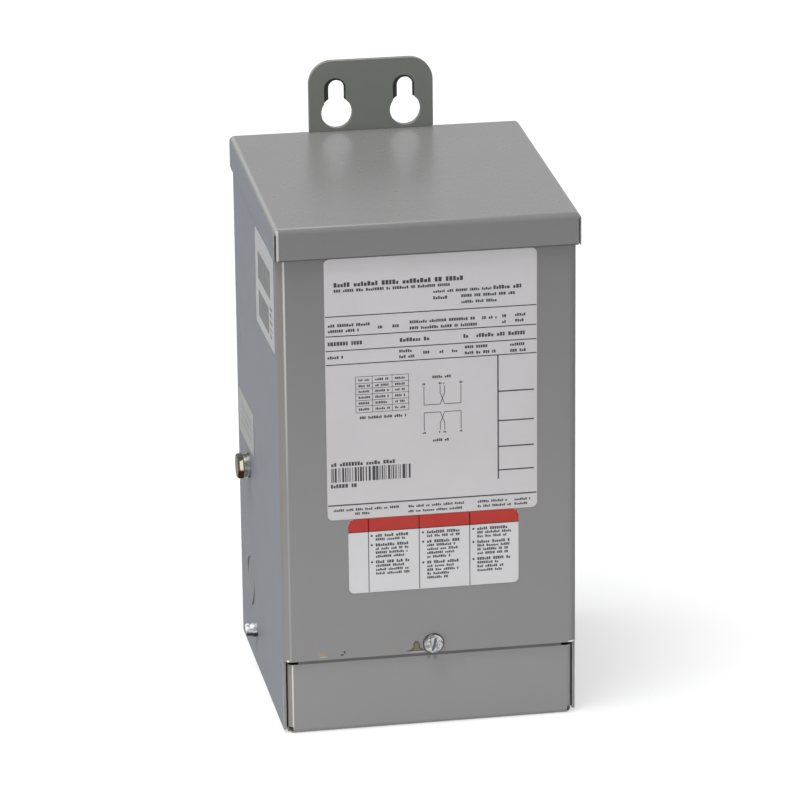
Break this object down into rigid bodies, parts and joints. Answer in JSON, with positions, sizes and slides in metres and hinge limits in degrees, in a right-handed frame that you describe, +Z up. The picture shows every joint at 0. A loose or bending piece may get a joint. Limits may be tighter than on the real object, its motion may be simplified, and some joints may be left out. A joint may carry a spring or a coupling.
{
  "type": "wall-mounted dry-type transformer",
  "caption": "Small dry-type transformer in a grey rainproof sheet-steel wall case with a sloping hood, wiring cover and keyhole ear.",
  "frame": {"origin": "middle of the bottom panel, on the floor", "axes": "+X to the right seen from the front, +Y towards the wall, +Z up"},
  "size_m": [0.1402, 0.1323, 0.2679],
  "materials": {
    "case_paint": "satin grey paint",
    "ear_paint": "satin grey-green paint",
    "zinc": "zinc plated",
    "yellow_zinc": "yellow zinc plated",
    "label": "matte film",
    "side_label": "matte film",
    "resin": "cast resin and sand"
  },
  "bodies": {
    "root": {"hood": "case_paint", "case_wrap": "case_paint", "back_panel": "ear_paint", "wall_plate": "ear_paint", "wiring_cover": "case_paint", "potted_core": "resin", "cover_screw": "zinc", "flat_washer_left": "zinc", "flat_washer_right": "zinc", "lock_washer_left": "zinc", "lock_washer_right": "zinc", "core_bolt_left": "yellow_zinc", "core_bolt_right": "yellow_zinc", "knockout_left": "case_paint", "knockout_right": "case_paint", "star_washer": "zinc", "earth_screw": "zinc", "nameplate": "label", "lower_label": "label", "side_label_upper": "label", "side_label_lower": "side_label"}
  },
  "joints": []
}
